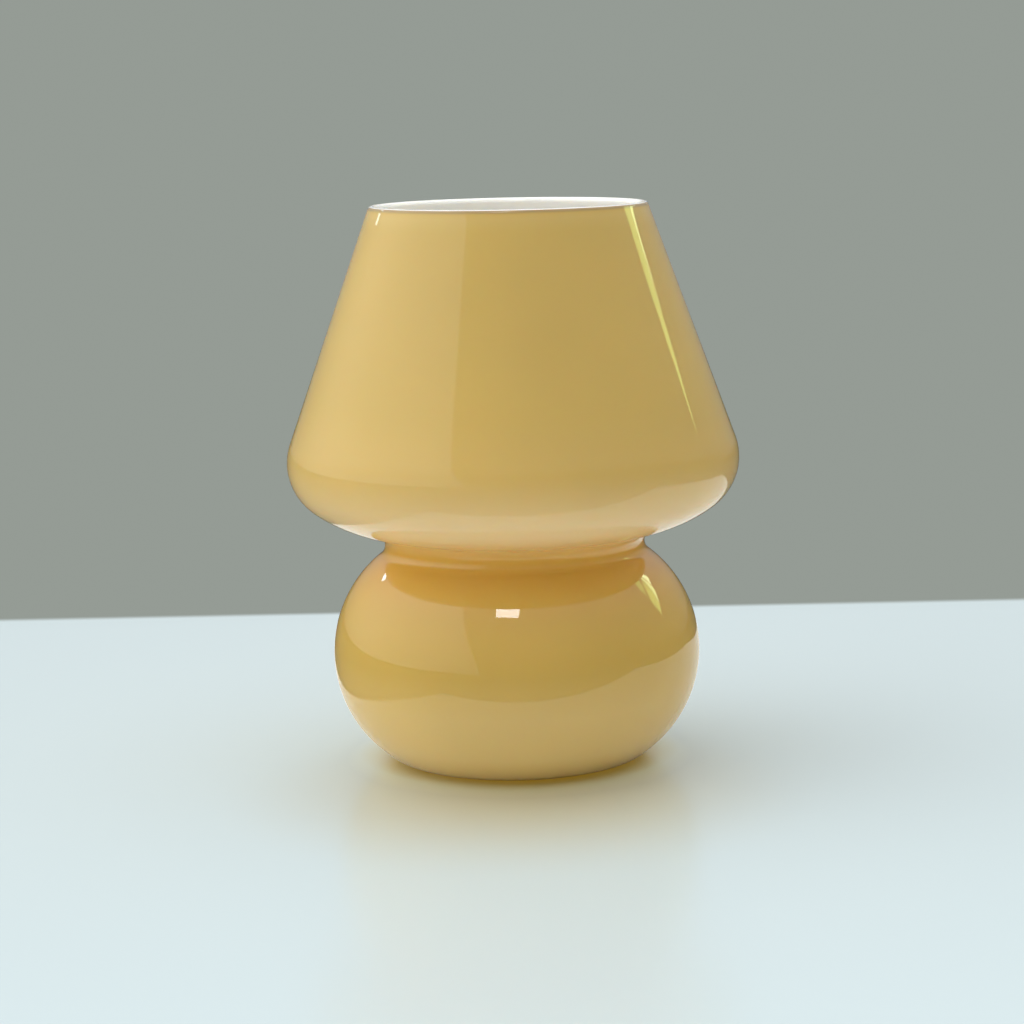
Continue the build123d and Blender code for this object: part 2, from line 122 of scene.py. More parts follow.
neck_height = shade_height - shoulder_radius - underside_drop - neck_roundness
shoulder_centre = (shade_radius - shoulder_radius, shade_height)
neck_centre = (neck_radius + neck_roundness, neck_height)
underside_centre = centre_inside(
    shoulder_centre,
    underside_radius - shoulder_radius,
    neck_centre,
    underside_radius + neck_roundness,
)
shoulder_end = direction(underside_centre, shoulder_centre)
underside_end = direction(underside_centre, neck_centre)
globe_over_neck = globe_radius - neck_centre[0]
neck_over_globe = neck_height - globe_height
globe_top_radius = (globe_over_neck**2 + neck_over_globe**2 - neck_roundness**2) / (
    2 * (globe_over_neck + neck_roundness)
)
globe_top_centre = (globe_radius - globe_top_radius, globe_height)
globe_top_start = direction(globe_top_centre, neck_centre)
foot_centre = (globe_radius - foot_tuck - foot_roundness, pad_thickness + foot_roundness)
globe_over_foot = globe_radius - foot_centre[0]
foot_under_globe = globe_height - foot_centre[1]
globe_low_radius = (globe_over_foot**2 + foot_under_globe**2 - foot_roundness**2) / (2 * foot_tuck)
globe_low_centre = (globe_radius - globe_low_radius, globe_height)
globe_low_end = direction(globe_low_centre, foot_centre)
foot_ring_inner = foot_centre[0] - foot_ring_width
bottom_outside = pad_thickness + push_up
corner_centre = (foot_ring_inner, pad_thickness + push_up_corner)
slope_sine = math.sin(math.radians(push_up_slope))
slope_cosine = math.cos(math.radians(push_up_slope))
slope_length = (push_up - (push_up_corner + push_up_crest) * (1 - slope_cosine)) / slope_sine
flat_radius = (
    foot_ring_inner - (push_up_corner + push_up_crest) * slope_sine - slope_length * slope_cosine
)
crest_centre = (flat_radius, bottom_outside - push_up_crest)
taper_sine = math.sin(math.radians(shade_taper))
taper_cosine = math.cos(math.radians(shade_taper))
side_length = (
    overall_height
    - glass_wall / 2
    - shade_height
    - (shoulder_radius - glass_wall / 2) * taper_sine
) / taper_cosine


def side_end(inset):
    """Upper end of the shade's straight side, at an inset into the wall."""
    low = on_circle(shoulder_centre, shoulder_radius - inset, shade_taper)
    return low + side_length * np.array([-taper_sine, taper_cosine])


def glass_surface(inset):
    """Outline at an inset into the wall, from rim to stem hole. Arcs keep their centres."""
    flat_height = bottom_outside + inset
    return joined(
        line(side_end(inset), on_circle(shoulder_centre, shoulder_radius - inset, shade_taper)),
        arc(shoulder_centre, shoulder_radius - inset, shade_taper, shoulder_end),
        arc(underside_centre, underside_radius - inset, shoulder_end, underside_end),
        arc(
            neck_centre,
            neck_roundness + inset,
            underside_end + 180,
            globe_top_start + 180,
            step=0.0008,
        ),
        arc(globe_top_centre, globe_top_radius - inset, globe_top_start, 0),
        arc(globe_low_centre, globe_low_radius - inset, 0, globe_low_end),
        arc(foot_centre, foot_roundness - inset, globe_low_end, -90),
        line((foot_centre[0], pad_thickness + inset), (foot_ring_inner, pad_thickness + inset)),
        arc(corner_centre, push_up_corner - inset, -90, -90 - push_up_slope),
        arc(crest_centre, push_up_crest + inset, 90 - push_up_slope, 90),
        line((flat_radius, flat_height), (stem_hole_radius, flat_height)),
    )


# ---- Meshes from arrays ----
def mesh_object(name, points, faces, material_numbers=None):
    """A smooth mesh from an array of points and an array of faces, with a row of corners each."""
    mesh = bpy.data.meshes.new(name)
    mesh.vertices.add(len(points))
    mesh.vertices.foreach_set("co", np.asarray(points, np.float32).ravel())
    mesh.loops.add(faces.size)
    mesh.loops.foreach_set("vertex_index", faces.astype(np.int32).ravel())
    mesh.polygons.add(len(faces))
    starts = np.arange(0, faces.size, faces.shape[1], dtype=np.int32)
    mesh.polygons.foreach_set("loop_start", starts)
    mesh.polygons.foreach_set("use_smooth", np.ones(len(faces), bool))
    if material_numbers is not None:
        mesh.polygons.foreach_set("material_index", material_numbers.astype(np.int32))
    mesh.update(calc_edges=True)
    mesh.validate()
    piece = bpy.data.objects.new(name, mesh)
    scene.collection.objects.link(piece)
    return piece


def grid_faces(rows, columns, closed_rows):
    """Faces of a grid that closes round its columns, and along its rows if closed_rows."""
    row = np.arange(rows if closed_rows else rows - 1)[:, None]
    column = np.arange(columns)[None, :]
    next_row = (row + 1) % rows
    next_column = (column + 1) % columns
    corners = (
        row * columns + column,
        next_row * columns + column,
        next_row * columns + next_column,
        row * columns + next_column,
    )
    return np.stack(np.broadcast_arrays(*corners), axis=-1).reshape(-1, 4)


def revolved(profile, columns, shift=None):
    """Points (r cos t, r sin t, z), a row of them for each (r, z) of a profile.

    shift(t, z), if given, is added to r."""
    turn = np.linspace(0, 2 * np.pi, columns, endpoint=False)[None, :]
    radius, height = np.broadcast_arrays(profile[:, :1] + 0 * turn, profile[:, 1:])
    if shift is not None:
        radius = radius + shift(turn, height)
    return np.stack([radius * np.cos(turn), radius * np.sin(turn), height], axis=-1).reshape(-1, 3)


def turned(name, profile, columns=96, closed=True, numbers=None, shift=None):
    """Surface of revolution about the lamp's axis.

    The outside of a profile runs down and its inside up, so that its faces point outwards."""
    faces = grid_faces(len(profile), columns, closed)
    if numbers is not None:
        numbers = np.repeat(numbers, columns)
    piece = mesh_object(name, revolved(profile, columns, shift), faces, numbers)
    if profile[:, 0].min() < 1e-6:
        welded(piece)
    return piece


def welded(piece):
    """The piece with points in one place merged, which closes its poles."""
    shape = bmesh.new()
    shape.from_mesh(piece.data)
    bmesh.ops.remove_doubles(shape, verts=shape.verts, dist=1e-6)
    shape.to_mesh(piece.data)
    shape.free()


def applied(piece):
    """The piece with its modifiers made part of its mesh."""
    graph = bpy.context.evaluated_depsgraph_get()
    mesh = bpy.data.meshes.new_from_object(piece.evaluated_get(graph))
    piece.modifiers.clear()
    old = piece.data
    piece.data = mesh
    bpy.data.meshes.remove(old)


def drilled(piece, radius, start, end, height, half_length=0.0):
    """Cut a hole along +Y into a piece, round, or a slot with round ends if half_length isn't 0."""
    sides = 64
    turn = np.linspace(0, 2 * np.pi, sides, endpoint=False)
    along = np.array([start, end])[:, None] + 0 * turn
    across = radius * np.cos(turn) + 0 * along
    stretch = half_length * np.where(np.sin(turn) >= 0, 1, -1)
    up = height + radius * np.sin(turn) + stretch + 0 * along
    rings = np.stack([across, along, up], axis=-1)
    middles = np.broadcast_to(rings.mean(axis=1, keepdims=True), rings.shape)
    points = np.concatenate([middles[:1], rings, middles[1:]]).reshape(-1, 3)
    drill = mesh_object("drill", points, grid_faces(4, sides, False))
    welded(drill)
    drill.data.materials.append(piece.data.materials[-1])
    cut = piece.modifiers.new("cut", "BOOLEAN")
    cut.operation = "DIFFERENCE"
    cut.solver = "EXACT"
    cut.object = drill
    applied(piece)
    bpy.data.objects.remove(drill)


def rounded(corners, radius, steps=4):
    """Closed profile from corners in mm. Each corner becomes an arc that touches both its sides.

    radius is one number, or one for each corner."""
    corners = np.array(corners, float)
    back = np.roll(corners, 1, axis=0) - corners
    ahead = np.roll(corners, -1, axis=0) - corners
    back_length = np.linalg.norm(back, axis=1, keepdims=True)
    ahead_length = np.linalg.norm(ahead, axis=1, keepdims=True)
    back = back / back_length
    ahead = ahead / ahead_length
    half = np.arccos((back * ahead).sum(axis=1, keepdims=True)) / 2
    radii = np.broadcast_to(radius, len(corners))[:, None]
    reach = np.minimum(radii / np.tan(half), 0.45 * np.minimum(back_length, ahead_length))
    inward = (back + ahead) / np.linalg.norm(back + ahead, axis=1, keepdims=True)
    middle = corners + inward * reach / np.cos(half)
    first = (corners + back * reach - middle)[:, None]
    last = (corners + ahead * reach - middle)[:, None]
    sweep = (np.pi - 2 * half)[:, None]
    share = np.linspace(0, 1, steps + 1)[None, :, None]
    arcs = (np.sin((1 - share) * sweep) * first + np.sin(share * sweep) * last) / np.sin(sweep)
    return (middle[:, None] + arcs).reshape(-1, 2) * mm


# ---- The glass: one closed wall of amber outside, white inside and round the rim ----
def cased_glass():
    """The outline's outer points down, its inner points up and a half round rim, all turned."""
    outer = glass_surface(0)
    inner = glass_surface(glass_wall)[::-1]
    rim_middle = side_end(glass_wall / 2)
    rim = arc(rim_middle, glass_wall / 2, shade_taper + 180, shade_taper, step=0.2 * mm)[1:-1]
    profile = np.concatenate([outer, inner, rim])
    amber_end = on_circle(rim_middle, glass_wall / 2, amber_lip_angle)[1]
    on_rim = np.arange(len(profile)) >= len(outer) + len(inner)
    on_outer_lip = on_rim & (profile[:, 0] > rim_middle[0]) & (profile[:, 1] < amber_end)
    numbers = np.ones(len(profile), int)  # of the materials: 0 amber, 1 white
    numbers[: len(outer) - 1] = 0
    numbers[on_outer_lip] = 0
    glass = turned("glass_body_cased", profile, columns=192, numbers=numbers)
    for material in (amber_outside, white_inside):
        glass.data.materials.append(material)
    drilled(glass, cord_hole_radius, start=0.04, end=0.09, height=cord_hole_height)
    return glass


# ---- Materials ----
noise_low, noise_high = 0.3, 0.7    # nearly all of a noise lies between these
gloss_spread = 0.1
grain_relief = 0.02 * mm
blown_waves = 18.0                  # a metre
blown_depth = 0.04 * mm


def noise_of(tree, size, detail=3.0, roughness=0.5):
    """Noise on Object coordinates, whose size socket is in features a metre."""
    place = tree.nodes.new("ShaderNodeTexCoord")
    noise = tree.nodes.new("ShaderNodeTexNoise")
    noise.inputs["Scale"].default_value = size
    noise.inputs["Detail"].default_value = detail
    noise.inputs["Roughness"].default_value = roughness
    tree.links.new(place.outputs["Object"], noise.inputs["Vector"])
    return noise


def make_surface_grain():
    """Group: masks for shades and gloss, and a height for a grain of Fine features a metre."""
    group = bpy.data.node_groups.new("surface_grain", "ShaderNodeTree")
    group.interface.new_socket("Fine", in_out="INPUT", socket_type="NodeSocketFloat")
    for label in ("Shade", "Gloss", "Height"):
        group.interface.new_socket(label, in_out="OUTPUT", socket_type="NodeSocketFloat")
    entry = group.nodes.new("NodeGroupInput")
    leave = group.nodes.new("NodeGroupOutput")
    coarse = noise_of(group, 60.0)
    middling = noise_of(group, 400.0, 4.0, 0.6)
    fine = noise_of(group, 2500.0, 2.0)
    group.links.new(entry.outputs["Fine"], fine.inputs["Scale"])
    group.links.new(coarse.outputs["Fac"], leave.inputs["Shade"])
    group.links.new(middling.outputs["Fac"], leave.inputs["Gloss"])
    group.links.new(fine.outputs["Fac"], leave.inputs["Height"])
    return group


surface_grain = make_surface_grain()


def new_material(name, roughness, metallic=0.0, **constants):
    """A material with its Principled shader's constants set. Returns it, its tree and shader."""
    material = bpy.data.materials.new(name)
    material.use_nodes = True
    tree = material.node_tree
    shader = tree.nodes["Principled BSDF"]
    shader.inputs["Roughness"].default_value = roughness
    shader.inputs["Metallic"].default_value = metallic
    for label, value in constants.items():
        shader.inputs[label.replace("_", " ")].default_value = value
    return material, tree, shader


def shades_along(tree, value, end, stops):
    """A colour that changes along a value from 0 to end. stops are (value, colour), rising."""
    share = tree.nodes.new("ShaderNodeMath")
    share.operation = "DIVIDE"
    share.inputs[1].default_value = end
    ramp = tree.nodes.new("ShaderNodeValToRGB")
    elements = ramp.color_ramp.elements
    while len(elements) < len(stops):
        elements.new(1.0)
    for element, (position, colour) in zip(elements, stops):
        element.position = position / end
        element.color = (*colour, 1)
    tree.links.new(value, share.inputs[0])
    tree.links.new(share.outputs["Value"], ramp.inputs["Fac"])
    return ramp.outputs["Color"]


def height_shades(tree, stops):
    """A colour that changes with height over the floor. stops are (height, colour), rising."""
    place = tree.nodes.new("ShaderNodeTexCoord")
    parts = tree.nodes.new("ShaderNodeSeparateXYZ")
    tree.links.new(place.outputs["Object"], parts.inputs["Vector"])
    return shades_along(tree, parts.outputs["Z"], overall_height, stops)


def spread_over(tree, noise, low, high):
    """A noise's value spread over low to high."""
    spread = tree.nodes.new("ShaderNodeMapRange")
    spread.inputs["From Min"].default_value = noise_low
    spread.inputs["From Max"].default_value = noise_high
    spread.inputs["To Min"].default_value = low
    spread.inputs["To Max"].default_value = high
    tree.links.new(noise, spread.inputs["Value"])
    return spread.outputs["Result"]


def in_relief(tree, shader, height, depth):
    """A height of 0 to 1 raised by depth metres on the surface."""
    bump = tree.nodes.new("ShaderNodeBump")
    bump.inputs["Distance"].default_value = depth
    tree.links.new(height, bump.inputs["Height"])
    tree.links.new(bump.outputs["Normal"], shader.inputs["Normal"])


def grained(name, dark, light, roughness, fine=2500.0, **constants):
    """Two close shades in soft patches, a varying gloss, and a grain of fine features a metre."""
    material, tree, shader = new_material(name + "_finish", roughness, **constants)
    grain = tree.nodes.new("ShaderNodeGroup")
    grain.node_tree = surface_grain
    grain.inputs["Fine"].default_value = fine
    stops = [(noise_low, dark), (noise_high, light)]
    shades = shades_along(tree, grain.outputs["Shade"], 1.0, stops)
    smoothest, roughest = roughness - gloss_spread / 2, roughness + gloss_spread / 2
    gloss = spread_over(tree, grain.outputs["Gloss"], smoothest, roughest)
    tree.links.new(shades, shader.inputs["Base Color"])
    tree.links.new(gloss, shader.inputs["Roughness"])
    in_relief(tree, shader, grain.outputs["Height"], grain_relief)
    return material


def blown_relief(tree, shader):
    """The slow waves that blowing leaves in a glass surface."""
    in_relief(tree, shader, noise_of(tree, blown_waves, 1.0).outputs["Fac"], blown_depth)


def shine_through(shader, reach):
    """Light that wanders through the wall, up to some millimetres by colour."""
    shader.inputs["Subsurface Weight"].default_value = 0.6
    shader.inputs["Subsurface Radius"].default_value = reach
    shader.inputs["Subsurface Scale"].default_value = glass_wall


amber = (0.665, 0.458, 0.122)
# Base colour by height, with painted light. Paler low on the globe: a painted reflection of the
# floor.
# Deeper and redder round the neck: thicker glass there, with painted shade and bounce light in the
# crease. Paler under the shade: painted bounce light from below.
amber_with_painted_light = [
    (0.0, (0.64, 0.42, 0.10)),
    (0.012, (0.71, 0.505, 0.17)),
    (0.030, (0.70, 0.495, 0.17)),
    (0.046, (0.64, 0.43, 0.11)),
    (0.066, (0.68, 0.44, 0.095)),
    (0.078, (0.76, 0.46, 0.09)),
    (0.087, (0.82, 0.49, 0.09)),
    (0.093, (0.82, 0.58, 0.24)),
    (0.101, (0.82, 0.63, 0.34)),
    (0.112, (0.76, 0.56, 0.25)),
    (0.125, (0.69, 0.475, 0.14)),
    (0.145, amber),
]
rim_line = overall_height - 0.2 * mm
amber_by_rim = [
    (rim_line - 8.0 * mm, amber),
    (rim_line - 3.0 * mm, (0.69, 0.49, 0.15)),
    (rim_line - 1.1 * mm, amber),
    (rim_line - 0.5 * mm, (0.38, 0.27, 0.14)),
]
opal_shades = [(0.0, (0.91, 0.89, 0.85)), (1.0, (0.94, 0.93, 0.90))]


def make_amber_outside():
    """Amber over white, deeper round neck and foot, with painted light: painted bounce light under
    the shade, a painted floor reflection low on the globe, painted shade in the neck's crease.
    """
    material, tree, shader = new_material("amber_cased_glass", 0.02)
    shine_through(shader, (1.0, 0.62, 0.3))
    thickness = noise_of(tree, 14.0, 2.0)
    colour_with_painted_light = tree.nodes.new("ShaderNodeHueSaturation")
    tree.links.new(spread_over(tree, thickness.outputs["Fac"], 0.96, 1.03), colour_with_painted_light.inputs["Value"])
    tree.links.new(height_shades(tree, amber_with_painted_light + amber_by_rim), colour_with_painted_light.inputs["Color"])
    tree.links.new(colour_with_painted_light.outputs["Color"], shader.inputs["Base Color"])
    blown_relief(tree, shader)
    return material


def make_white_inside():
    """White opal, with slow waves."""
    material, tree, shader = new_material("white_opal_glass", 0.08)
    shine_through(shader, (1.0, 0.9, 0.75))
    clouds = noise_of(tree, 20.0, 2.0)
    shades = shades_along(tree, clouds.outputs["Fac"], 1.0, opal_shades)
    tree.links.new(shades, shader.inputs["Base Color"])
    blown_relief(tree, shader)
    return material


amber_outside = make_amber_outside()
white_inside = make_white_inside()
glass = cased_glass()
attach(glass, "root")
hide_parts("glass_body")

metal = {"metallic": 1.0}
silicone = {"Transmission_Weight": 0.6, "IOR": 1.41}
slot_looks = {  # darker shade, lighter shade, roughness, and what else a slot's finish needs
    "clear_silicone": ((0.80, 0.82, 0.82), (0.86, 0.88, 0.88), 0.25, silicone),
    "bushing_rubber": ((0.70, 0.69, 0.64), (0.76, 0.75, 0.71), 0.5, {}),
    "gasket_rubber": ((0.016, 0.016, 0.017), (0.030, 0.030, 0.030), 0.6, {}),
    "zinc_steel": ((0.60, 0.63, 0.68), (0.74, 0.74, 0.73), 0.3, metal),
    "white_steel": ((0.80, 0.80, 0.78), (0.84, 0.84, 0.82), 0.4, {"fine": 900.0}),
    "holder_plastic": ((0.78, 0.78, 0.74), (0.82, 0.82, 0.79), 0.42, {}),
    "holder_ceramic": ((0.76, 0.75, 0.69), (0.82, 0.81, 0.76), 0.7, {}),
    "contact_brass": ((0.70, 0.50, 0.20), (0.82, 0.64, 0.30), 0.25, metal),
    "cap_metal": ((0.68, 0.67, 0.64), (0.78, 0.77, 0.75), 0.25, metal),
    "tip_metal": ((0.52, 0.51, 0.49), (0.66, 0.65, 0.62), 0.4, metal),
    "black_insulator": ((0.010, 0.008, 0.012), (0.020, 0.018, 0.022), 0.12, {}),
    "bulb_plastic": ((0.82, 0.82, 0.81), (0.86, 0.86, 0.85), 0.35, {}),
    "bulb_opal": ((0.86, 0.86, 0.84), (0.90, 0.90, 0.88), 0.38, {}),
    "board_white": ((0.80, 0.80, 0.79), (0.84, 0.84, 0.83), 0.3, {}),
    "chip_yellow": ((0.78, 0.58, 0.10), (0.86, 0.70, 0.20), 0.35, {}),
    "board_green": ((0.01, 0.09, 0.035), (0.02, 0.13, 0.05), 0.3, {}),
}
finishes = {slot: grained(slot, *look, **others) for slot, (*look, others) in slot_looks.items()}
subparts = frame["record"]["subparts"]
for entry in subparts:
    if entry["material_slot"] in finishes:
        mesh = nodes[entry["node"]].data
        mesh.materials.clear()
        mesh.materials.append(finishes[entry["material_slot"]])


# ---- Pieces in the place of CAD nodes; corners in mm, as (radius, height) ----
def dressed(piece, node, body="root"):
    """The piece stands for a CAD node, on its body, in its slot and with its finish."""
    slot = next(part["material_slot"] for part in subparts if part["node"] == node)
    if not piece.data.materials:
        piece.data.materials.append(finishes[slot])
    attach(piece, body)
    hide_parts(node)


def eased(value, start, end):
    """0 before start, 1 after end, and a smooth rise between."""
    share = np.clip((value - start) / (end - start), 0, 1)
    return share * share * (3 - 2 * share)


def upright(radius, heights):
    """Points (radius, height) of a straight upright wall."""
    return np.stack([np.full_like(heights, radius), heights], axis=-1)


def foot_pads():
    """Four soft bumpers with a rounded lower edge, each turned about its axis, on the foot ring."""
    radius, edge_radius, columns = 4.0 * mm, 0.35 * mm, 40
    top = np.array([(0, pad_thickness), (radius, pad_thickness)])
    edge = arc((radius - edge_radius, edge_radius), edge_radius, 0, -90, 0.1 * mm)
    profile = joined(top, edge, np.array([(0, 0)]))
    pad = revolved(profile, columns)
    ring_middle = foot_centre[0] - foot_ring_width / 2
    turn = np.radians([45, 135, 225, 315])
    places = np.stack([ring_middle * np.cos(turn), ring_middle * np.sin(turn), 0 * turn], axis=-1)
    points = (places[:, None] + pad[None]).reshape(-1, 3)
    faces = grid_faces(len(profile), columns, False)
    faces = (faces[None] + len(pad) * np.arange(len(turn))[:, None, None]).reshape(-1, 4)
    piece = mesh_object("foot_pads_rounded", points, faces)
    welded(piece)
    dressed(piece, "foot_pads")


def cord_bushing():
    """Soft bushing: a closed outline of (distance from the hole's axis, inset), carried round it.

    A point at distance d, angle a and inset i is at x = d cos a and z = hole + d sin a, on the
    globe's surface of that inset: y = sqrt(R(z)^2 - x^2)."""
    corners = [
        (3.2, 4.4), (8.0, 4.4), (8.0, 3.1), (5.4, 3.1),
        (5.4, -0.1), (8.0, -0.1), (8.0, -1.4), (3.2, -1.4),
    ]
    outline = rounded(corners, [0.5, 0.7, 0.1, 0.15, 0.15, 0.1, 0.7, 0.5])
    columns = 72
    turn = np.linspace(0, 2 * np.pi, columns, endpoint=False)[None, :]
    distance, inset = outline[:, :1], outline[:, 1:]
    across = distance * np.cos(turn)
    height = cord_hole_height + distance * np.sin(turn)
    above = height - globe_height
    reach = globe_low_centre[0] + np.sqrt((globe_low_radius - inset) ** 2 - above**2)
    back = np.sqrt(reach**2 - across**2)
    points = np.stack([across, back, height], axis=-1).reshape(-1, 3)
    faces = grid_faces(len(outline), columns, True)
    dressed(mesh_object("cord_grommet_soft", points, faces), "cord_grommet")


def gasket(node, low):
    """Flat rubber ring with rounded edges."""
    inner, outer, high = 5.6, 22.55, low + 1.5
    profile = rounded([(outer, high), (outer, low), (inner, low), (inner, high)], 0.3)
    dressed(turned(node + "_round", profile), node)


def pressed_plate(node, seat, side):
    """Round plate pressed from sheet, its edge turned away from the glass. side is 1 or -1."""
    away, end = seat + side * 1.2, seat + side * 2.8
    corners = [(5.6, seat), (21.55, seat), (21.55, end), (20.35, end), (20.35, away), (5.6, away)]
    radii = [0.15, 1.1, 0.4, 0.4, 0.3, 0.15]
    if side > 0:
        corners, radii = corners[::-1], radii[::-1]
    dressed(turned(node + "_pressed", rounded(corners, radii)), node)


def screw_groove(pitch, depth):
    """Depth of a rounded right-hand thread: depth (1 - cos(2 pi z / pitch - t)) / 2."""
    return lambda turn, height: depth * (1 - np.cos(2 * np.pi * height / pitch - turn)) / 2


def threaded_stem():
    """Hollow stem: a fine thread that runs out at both ends, and a slot behind for the cord."""
    low, high, outer, bore = 2.5 * mm, 45.2 * mm, 5.0 * mm, 3.8 * mm
    chamfer, thread_depth = 0.5 * mm, 0.6 * mm
    thread_root = outer - thread_depth
    profile = np.concatenate(
        [
            [(thread_root, high)],
            upright(outer, np.linspace(high - chamfer, low + chamfer, 420)),
            [(thread_root, low), (bore, low), (bore, 14 * mm), (bore, 30 * mm), (bore, high)],
        ]
    )
    on_thread = (profile[:, :1] == outer).astype(float)
    groove = screw_groove(1.0 * mm, thread_depth)

    def shift(turn, height):
        return -groove(turn, height) * on_thread

    piece = turned("threaded_stem_cut", profile, columns=48, shift=shift)
    piece.data.materials.append(finishes["zinc_steel"])
    drilled(
        piece, 3.2 * mm, start=0.5 * mm, end=8 * mm, height=cord_hole_height, half_length=1.8 * mm
    )
    dressed(piece, "threaded_stem")


def with_rows(profile, step):
    """A closed profile with more points on its long stretches, at most a step apart."""
    ahead = np.roll(profile, -1, axis=0)
    length = np.linalg.norm(ahead - profile, axis=1)
    count = np.maximum(np.ceil(length / step).astype(int), 1)
    start = np.repeat(np.arange(len(profile)), count)
    within = np.arange(count.sum()) - np.repeat(np.cumsum(count) - count, count)
    share = (within / count[start])[:, None]
    return profile[start] * (1 - share) + ahead[start] * share


def ribbed(name, corners, radii, low, high):
    """Half of the lampholder, with grip grooves in its outer wall between two heights in mm."""
    rib_count, rib_depth, fade, wall = 40, 0.35 * mm, 0.8 * mm, 12.6 * mm
    low, high = low * mm, high * mm
    profile = with_rows(rounded(corners, radii, steps=6), 0.5 * mm)
    on_wall = (profile[:, :1] > wall).astype(float)

    def shift(turn, height):
        band = eased(height, low, low + fade) * (1 - eased(height, high - fade, high))
        return -rib_depth * (0.5 + 0.5 * np.cos(rib_count * turn)) ** 2 * band * on_wall

    return turned(name, profile, columns=240, shift=shift)


def holder_cap():
    """Lower half of the lampholder, with grip ribs, and a hole for its locking screw."""
    corners = [
        (14.0, 54.2), (14.0, 46.2), (8.5, 41.2), (8.5, 36.2), (5.05, 36.2), (5.05, 45.2),
        (7.4, 45.2), (7.4, 43.0), (8.3, 43.0), (12.2, 47.1), (12.2, 54.2),
    ]
    radii = [0.4, 2.5, 1.5, 0.5, 0.2, 0.2, 0.2, 0.3, 0.3, 1.5, 0.2]
    piece = ribbed("holder_cap_ribbed", corners, radii, 47.4, 53.4)
    piece.data.materials.append(finishes["holder_plastic"])
    drilled(piece, 1.55 * mm, start=3 * mm, end=12 * mm, height=38.7 * mm)
    dressed(piece, "holder_cap")


def holder_shell():
    """Upper half of the lampholder: a skirt in the cap, a ribbed band, and a taper to the mouth."""
    corners = [
        (11.2, 80.2), (14.0, 65.2), (14.0, 54.2), (12.0, 54.2), (12.0, 47.2), (10.2, 47.2),
        (10.2, 63.4), (9.4, 63.4), (9.4, 80.2),
    ]
    radii = [0.7, 3.0, 0.4, 0.1, 0.3, 0.3, 0.2, 0.2, 0.5]
    dressed(ribbed("holder_shell_ribbed", corners, radii, 55.0, 63.6), "holder_shell")


bulb_groove = 0.75 * mm
groove_of_bulb = screw_groove(2.822 * mm, bulb_groove)
thread_rows = 89


def screw_shell():
    """The holder's thin metal thread, open at both ends so that the bulb's thread enters it."""
    low, high = 63.4 * mm, 78.9 * mm
    side = np.linspace(high, low, thread_rows)
    profile = np.concatenate([upright(7.45 * mm, side), upright(7.05 * mm, side[::-1])])

    def shift(turn, height):
        near_top = eased(height, high - 1.6 * mm, high - 0.2 * mm)
        whole = eased(height, low, low + 1.4 * mm) * (1 - near_top)
        return -groove_of_bulb(turn, height) * whole

    dressed(turned("screw_shell_thread", profile, shift=shift), "screw_shell")


def bulb_cap():
    """The bulb's thin metal thread: plain at the top, and narrow at its lower edge."""
    low, high = 65.4 * mm, 80.4 * mm
    side = np.linspace(high, low + 0.5 * mm, thread_rows)
    lip = np.array([(6.65, 65.45), (6.1, 65.4), (6.1, 65.75), (6.5, 65.8)]) * mm
    profile = np.concatenate([upright(6.9 * mm, side), lip, upright(6.55 * mm, side[::-1])])

    def shift(turn, height):
        below = 1 - eased(height, low + 0.2 * mm, low + 1.6 * mm)
        near_top = eased(height, high - 2.2 * mm, high - 1.0 * mm)
        threaded = groove_of_bulb(turn, height) * (1 - near_top)
        return -np.maximum(threaded, bulb_groove * below)

    dressed(turned("bulb_cap_thread", profile, shift=shift), "bulb_cap", "bulb")


def bulb_insulator():
    """Black glass cone between the tip and the cap, with a socket for the tip."""
    corners = [
        (0, 68.4), (5.1, 68.4), (5.1, 65.3), (5.75, 65.3), (5.6, 64.9),
        (3.1, 62.3), (2.5, 62.3), (2.5, 63.3), (0, 63.3),
    ]
    piece = turned("bulb_insulator_glass", np.array(corners) * mm, columns=64, closed=False)
    dressed(piece, "bulb_insulator", "bulb")


def bulb_tip():
    """Soldered button: flat on top, domed below."""
    dome = arc((0, 66.2 * mm), 4.8 * mm, -60, -90, 0.3 * mm)
    profile = joined(np.array([(0, 63.2), (2.4, 63.2)]) * mm, dome)
    profile[-1, 0] = 0
    piece = turned("bulb_tip_button", profile, columns=64, closed=False)
    dressed(piece, "bulb_tip_contact", "bulb_lift")


def bulb_housing():
    """Flared plastic housing: a neck in the cap, a collar, and a cup for board and globe."""
    corners = [
        (20.156, 106.9), (20.156, 102.9), (8.4, 84.4), (8.4, 81.4), (5.65, 81.4), (5.65, 74.4),
        (4.35, 74.4), (4.35, 85.7), (17.856, 102.9), (17.856, 103.9), (18.856, 103.9),
        (18.856, 106.9),
    ]
    radii = [0.25, 9.0, 2.0, 0.5, 0.3, 0.2, 0.2, 1.0, 0.2, 0.1, 0.1, 0.1]
    profile = rounded(corners, radii, steps=10)
    dressed(turned("bulb_housing_flared", profile, columns=128), "bulb_housing", "bulb")


def bulb_globe():
    """Opal globe from its pole to the seam, with a lip inside the housing's edge."""
    centre, step = (0, 116.9 * mm), 0.8 * mm
    outside = arc(centre, 22.5 * mm, 90, -26.38, step)
    inside = arc(centre, 21.5 * mm, -28.0, 90, step)
    lip = np.array([(20.05, 106.85), (18.756, 106.85), (18.756, 105.3)]) * mm
    profile = np.concatenate([outside, lip, inside])
    profile[[0, -1], 0] = 0
    piece = turned("bulb_diffuser_globe", profile, columns=128, closed=False)
    dressed(piece, "bulb_diffuser", "bulb")


foot_pads()
cord_bushing()
threaded_stem()
holder_cap()
holder_shell()
screw_shell()
bulb_cap()
bulb_insulator()
bulb_tip()
bulb_housing()
bulb_globe()
gasket("outer_gasket", 8.5)
gasket("inner_gasket", 13.0)
pressed_plate("clamp_plate", 8.5, -1)
pressed_plate("inner_plate", 14.5, 1)


